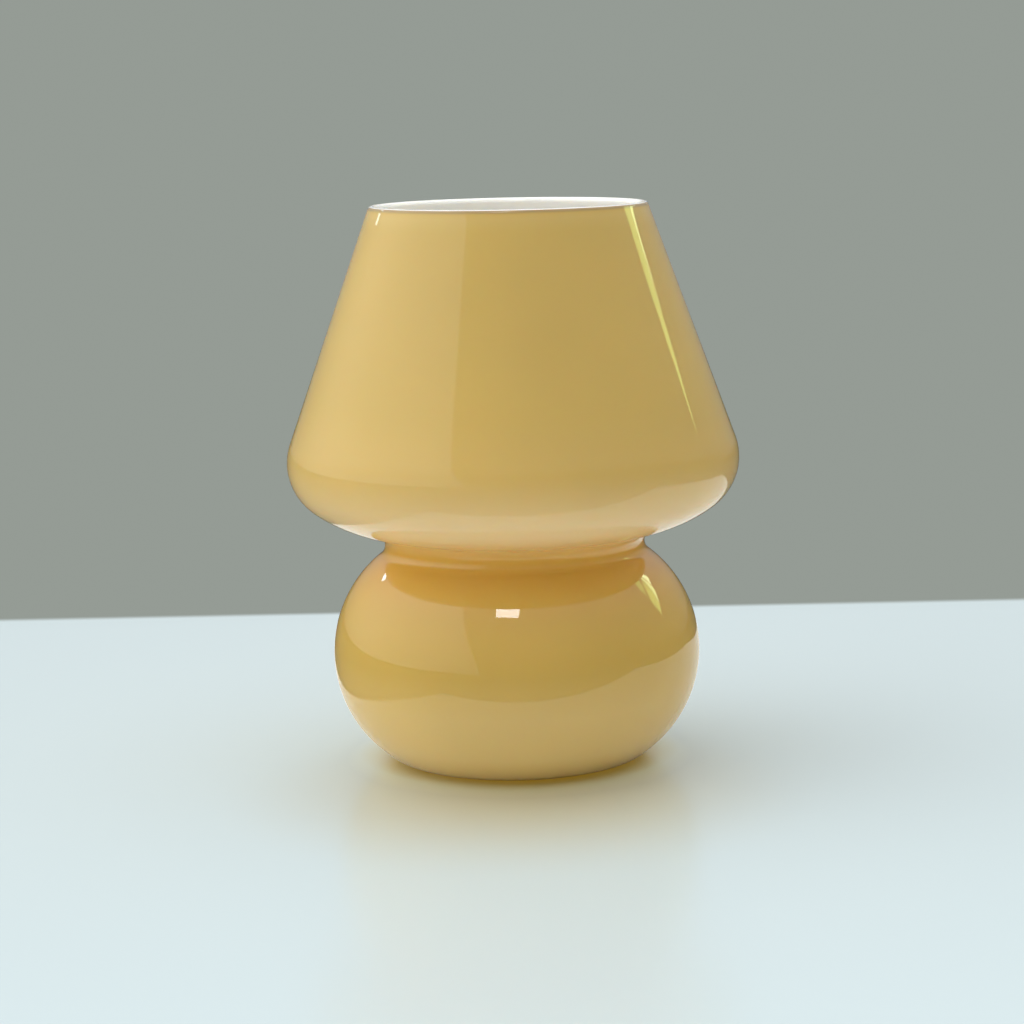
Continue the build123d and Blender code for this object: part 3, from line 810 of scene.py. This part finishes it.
# ---- Floor, background, camera and lights ----
background = (0.30, 0.33, 0.30)
floor_colour = (0.69, 0.805, 0.835)
# Painted contact shadow with painted amber bounce light, on the floor round the foot
painted_shadow_and_bounce = (0.61, 0.58, 0.42)
# The painted shadow and bounce light round the foot fade between two distances from a point: its
# middle, or one before it
painted_shadow_reach = [((0, 0, 0), 0.048, 0.070), ((0, -0.06, 0), 0.0, 0.12)]
light_through_glass = [  # on the floor, by distance from the lamp's middle
    (0.044, (0.200, 0.112, 0.007)),
    (0.050, (0.110, 0.068, 0.0)),
    (0.058, (0.080, 0.080, 0.040)),
    (0.069, (0.0, 0.0, 0.0)),
]
bounce_colour = (0.88, 0.90, 0.88)
far_floor_colour = (0.09, 0.10, 0.095)
# Pale floor for the camera and for reflections: left, right, front and back, and the edges' fade
shown_floor = (-0.36, 0.36, -0.36, 0.30), 0.012
bright_patch = (-0.12, 0.45, -0.15, 0.30), 0.004


def ramp_between(tree, value, start, end):
    """A smooth step of a value, from 0 at start to 1 at end."""
    step = tree.nodes.new("ShaderNodeMapRange")
    step.interpolation_type = "SMOOTHSTEP"
    step.inputs["From Min"].default_value = start
    step.inputs["From Max"].default_value = end
    tree.links.new(value, step.inputs["Value"])
    return step.outputs["Result"]


def combined(tree, operation, *values):
    """The values combined two at a time by a Math operation."""
    result = values[0]
    for value in values[1:]:
        node = tree.nodes.new("ShaderNodeMath")
        node.operation = operation
        for socket, source in zip(node.inputs, (result, value)):
            if isinstance(source, float):
                socket.default_value = source
            else:
                tree.links.new(source, socket)
        result = node.outputs["Value"]
    return result


def outside_box(tree, x, y, box, fade):
    """0 inside a box (left, right, front, back) of the floor, 1 outside it, over a fade."""
    left, right, front, back = box
    return combined(
        tree,
        "MAXIMUM",
        ramp_between(tree, x, left + fade / 2, left - fade / 2),
        ramp_between(tree, x, right - fade / 2, right + fade / 2),
        ramp_between(tree, y, front + fade / 2, front - fade / 2),
        ramp_between(tree, y, back - fade / 2, back + fade / 2),
    )


def vector_value(tree, operation, place, other):
    """A place's distance from another point, or its dot product with a direction."""
    node = tree.nodes.new("ShaderNodeVectorMath")
    node.operation = operation
    node.inputs[1].default_value = other
    tree.links.new(place, node.inputs[0])
    return node.outputs["Value"]


def plain(tree, kind, colour):
    """A shader of one colour."""
    node = tree.nodes.new(kind)
    node.inputs["Color"].default_value = (*colour, 1)
    return node.outputs[0]


def mixed(tree, factor, first, second):
    """The first shader where the factor is 0, and the second where it is 1."""
    node = tree.nodes.new("ShaderNodeMixShader")
    for socket, source in zip(node.inputs, (factor, first, second)):
        tree.links.new(source, socket)
    return node.outputs[0]


def make_floor():
    """A plain pale floor. Seen by the camera it fades into the background some way from the lamp.

    Round the foot its colour holds a painted shadow with painted amber bounce light, and a painted
    glow stands for light through the glass. Glossy rays see it end nearer."""
    size = 3.0
    corners = np.array([(-size, -size, 0), (size, -size, 0), (size, size, 0), (-size, size, 0)])
    floor = mesh_object("floor", corners, np.array([[0, 1, 2, 3]]))
    material, tree, shader = new_material("pale_floor", 0.22)
    place = tree.nodes.new("ShaderNodeTexCoord").outputs["Object"]
    parts = tree.nodes.new("ShaderNodeSeparateXYZ")
    tree.links.new(place, parts.inputs["Vector"])
    x, y = parts.outputs["X"], parts.outputs["Y"]
    # Painted shadow and bounce light round the foot, in the floor's base colour
    steps = [
        ramp_between(tree, vector_value(tree, "DISTANCE", place, point), full, gone)
        for point, full, gone in painted_shadow_reach
    ]
    past_painted_shadow = combined(tree, "MINIMUM", *steps)
    colour_with_painted_light = shades_along(tree, past_painted_shadow, 1.0, [(0.0, painted_shadow_and_bounce), (1.0, floor_colour)])
    from_lamp = vector_value(tree, "DISTANCE", place, (0, 0, 0))
    shone_through = shades_along(tree, from_lamp, 0.15, light_through_glass)
    tree.links.new(colour_with_painted_light, shader.inputs["Base Color"])
    tree.links.new(shone_through, shader.inputs["Emission Color"])
    shader.inputs["Emission Strength"].default_value = 1.0
    path = tree.nodes.new("ShaderNodeLightPath")
    bounce = plain(tree, "ShaderNodeBsdfDiffuse", bounce_colour)
    far_floor = plain(tree, "ShaderNodeBsdfDiffuse", far_floor_colour)
    horizon = plain(tree, "ShaderNodeEmission", background)
    seen = mixed(tree, outside_box(tree, x, y, *shown_floor), shader.outputs[0], horizon)
    reflected = mixed(tree, outside_box(tree, x, y, *bright_patch), bounce, far_floor)
    otherwise = mixed(tree, path.outputs["Is Glossy Ray"], bounce, reflected)
    surface = mixed(tree, path.outputs["Is Camera Ray"], otherwise, seen)
    tree.links.new(surface, tree.nodes["Material Output"].inputs["Surface"])
    floor.data.materials.append(material)


def make_world():
    """Soft light from all round: broad lobes, and one bright side with a firm and a soft edge.

    A lobe is its share times the cosine to its middle. The camera sees a plain background."""
    world = bpy.data.worlds.new("studio")
    scene.world = world
    world.use_nodes = True
    tree = world.node_tree
    place = tree.nodes.new("ShaderNodeTexCoord").outputs["Generated"]

    def lobe(toward, share):
        cosine = vector_value(tree, "DOT_PRODUCT", place, toward)
        return combined(tree, "MULTIPLY", combined(tree, "MAXIMUM", cosine, 0.0), share)

    edges = [
        ramp_between(tree, vector_value(tree, "DOT_PRODUCT", place, across), start, end)
        for across, start, end in side_edges
    ]
    side = combined(tree, "MULTIPLY", lobe(*bright_side), *edges)
    total = combined(tree, "ADD", side, world_level, *(lobe(*pair) for pair in world_lobes))
    light = tree.nodes["Background"]
    light.inputs["Color"].default_value = (*world_colour, 1)
    tree.links.new(total, light.inputs["Strength"])
    path = tree.nodes.new("ShaderNodeLightPath")
    behind = plain(tree, "ShaderNodeBackground", background)
    surface = mixed(tree, path.outputs["Is Camera Ray"], light.outputs[0], behind)
    tree.links.new(surface, tree.nodes["World Output"].inputs["Surface"])


def panel(name, toward, distance, width, height, radiance, aim):
    """A rectangular lamp of one radiance that faces aim and lights nothing but the gloss."""
    data = bpy.data.lights.new(name, "AREA")
    data.shape = "RECTANGLE"
    data.size = width
    data.size_y = height
    data.energy = radiance * math.pi * width * height
    lamp = bpy.data.objects.new(name, data)
    scene.collection.objects.link(lamp)
    away = Vector(toward).normalized()
    turn = away.to_track_quat("Z", "Y").to_matrix().to_4x4()
    lamp.matrix_world = Matrix.Translation(Vector(aim) + away * distance) @ turn
    lamp.visible_diffuse = False
    return lamp


def glow(name, colour, facing, distance, corners, seen_from):
    """A shining pane, from corners as (azimuth, elevation) from a point, that only reflections see.

    It lies in the plane square to facing, at a distance from that point."""
    toward = np.array([heading(*corner) for corner in corners])
    points = np.array(seen_from) + toward * (distance / (toward @ np.array(facing)))[:, None]
    pane = mesh_object(name, points, np.arange(len(corners))[None])
    material = bpy.data.materials.new(name)
    material.use_nodes = True
    tree = material.node_tree
    tree.nodes.remove(tree.nodes["Principled BSDF"])
    path = tree.nodes.new("ShaderNodeLightPath")
    clear = tree.nodes.new("ShaderNodeBsdfTransparent").outputs[0]
    surface = mixed(
        tree, path.outputs["Is Glossy Ray"], clear, plain(tree, "ShaderNodeEmission", colour)
    )
    tree.links.new(surface, tree.nodes["Material Output"].inputs["Surface"])
    pane.data.materials.append(material)
    pane.visible_camera = False


eye = Vector((0, -1.0602, 0.2665))
pitch = math.radians(9.015)  # below the horizontal
roll = math.radians(-1.177)
yaw = math.radians(-0.045)
picture_width = 1024
focal_pixels = 2708.4


def make_camera():
    """The camera at its eye, turned by yaw, pitch and roll from looking along +Y."""
    data = bpy.data.cameras.new("camera")
    data.sensor_width = 36.0
    data.lens = focal_pixels * data.sensor_width / picture_width
    data.clip_start = 0.01
    camera = bpy.data.objects.new("camera", data)
    scene.collection.objects.link(camera)
    right = Vector((math.cos(yaw), -math.sin(yaw), 0))
    level = Vector((math.sin(yaw), math.cos(yaw), 0))
    ahead = math.cos(pitch) * level - Vector((0, 0, math.sin(pitch)))
    down = -math.sin(pitch) * level - Vector((0, 0, math.cos(pitch)))
    across = math.cos(roll) * right - math.sin(roll) * down
    low = math.sin(roll) * right + math.cos(roll) * down
    axes = Matrix((across, -low, -ahead)).transposed()
    camera.matrix_world = Matrix.Translation(eye) @ axes.to_4x4()
    scene.camera = camera


def heading(azimuth, elevation):
    """Direction at an azimuth from -Y towards +X and an elevation, both in degrees."""
    a, e = math.radians(azimuth), math.radians(elevation)
    return (math.sin(a) * math.cos(e), -math.cos(a) * math.cos(e), math.sin(e))


world_colour = (0.98, 1.0, 1.0)
world_level = 0.06
world_lobes = [((0, 0, 1), 0.86), ((0, 0.5, 0.866), 0.45)]
bright_side = heading(-80, 25), 1.05
# Directions across its edges, and the cosines to them between which the light comes up
side_edges = [
    ((-0.880, 0.347, -0.325), 0.0, 0.035),  # the firm edge, in front of the lamp
    (heading(-30, 0), -0.60, 0.30),  # the soft edge, behind it
]
make_floor()
make_world()
make_camera()

panel(
    "upper_panel",
    toward=(-0.078, -0.55, 0.82),
    distance=2.0,
    width=0.45,
    height=0.33,
    radiance=12.0,
    aim=(-0.003, -0.064, 0.070),
)

# A round lamp over the opening that lights the inside and isn't seen itself
fill = panel(
    "opening_fill",
    toward=(0, 0, 1),
    distance=0.05,
    width=0.06,
    height=0.06,
    radiance=3.0,
    aim=(0, 0, overall_height),
)
fill.data.color = (1, 0.96, 0.88)
fill.data.shape = "DISK"
fill.data.spread = math.radians(90)
fill.visible_camera = fill.visible_glossy = False
fill.visible_diffuse = True

# Four panes to the right, with narrow gaps. The shade shows them as a streak, and the globe as a
# pointed patch.
green_facing = (-0.2065, 0.9688, 0.1372)
green_from = (0.0535, -0.0360, 0.0720)
green_panes = [
    ((6.2, 7.4, 4.0), [(135.3, 27.0), (136.4, 31.0), (133.4, 31.5), (129.6, 25.3)]),
    ((5.0, 6.4, 2.9), [(128.2, 24.2), (131.9, 31.4), (129.9, 31.8), (118.8, 18.7)]),
    (
        (2.9, 3.9, 1.4),
        [(114.4, 15.0), (118.2, 18.2), (128.7, 32.0), (118.8, 28.2), (115.0, 24.6), (113.6, 20.6)],
    ),
    ((2.0, 3.0, 1.2), [(123.0, 36.9), (128.6, 34.0), (119.3, 29.8), (115.4, 27.6), (117.4, 33.0)]),
]
for number, (colour, corners) in enumerate(green_panes):
    glow(f"green_glow_{number}", colour, green_facing, 0.492, corners, green_from)

# Two small pale panes to the left. The second lies edge on to the globe, which doesn't show it.
glow(
    "pale_glow_bulge",
    colour=(7.0, 8.0, 9.0),
    facing=heading(-141, 26),
    distance=3.0,
    corners=[(-147.3, 25.0), (-143.9, 28.0), (-136.2, 27.3), (-137.8, 25.0)],
    seen_from=(-0.050, -0.028, 0.079),
)
glow(
    "pale_glow_shade",
    colour=(3.0, 4.2, 4.2),
    facing=(-0.2675, 0.2409, -0.933),
    distance=0.137,
    corners=[(-133.6, 12.5), (-130.3, 13.4), (-130.3, 15.0), (-133.6, 14.1)],
    seen_from=(-0.050, -0.025, 0.2156),
)

scene.view_settings.view_transform = "Standard"
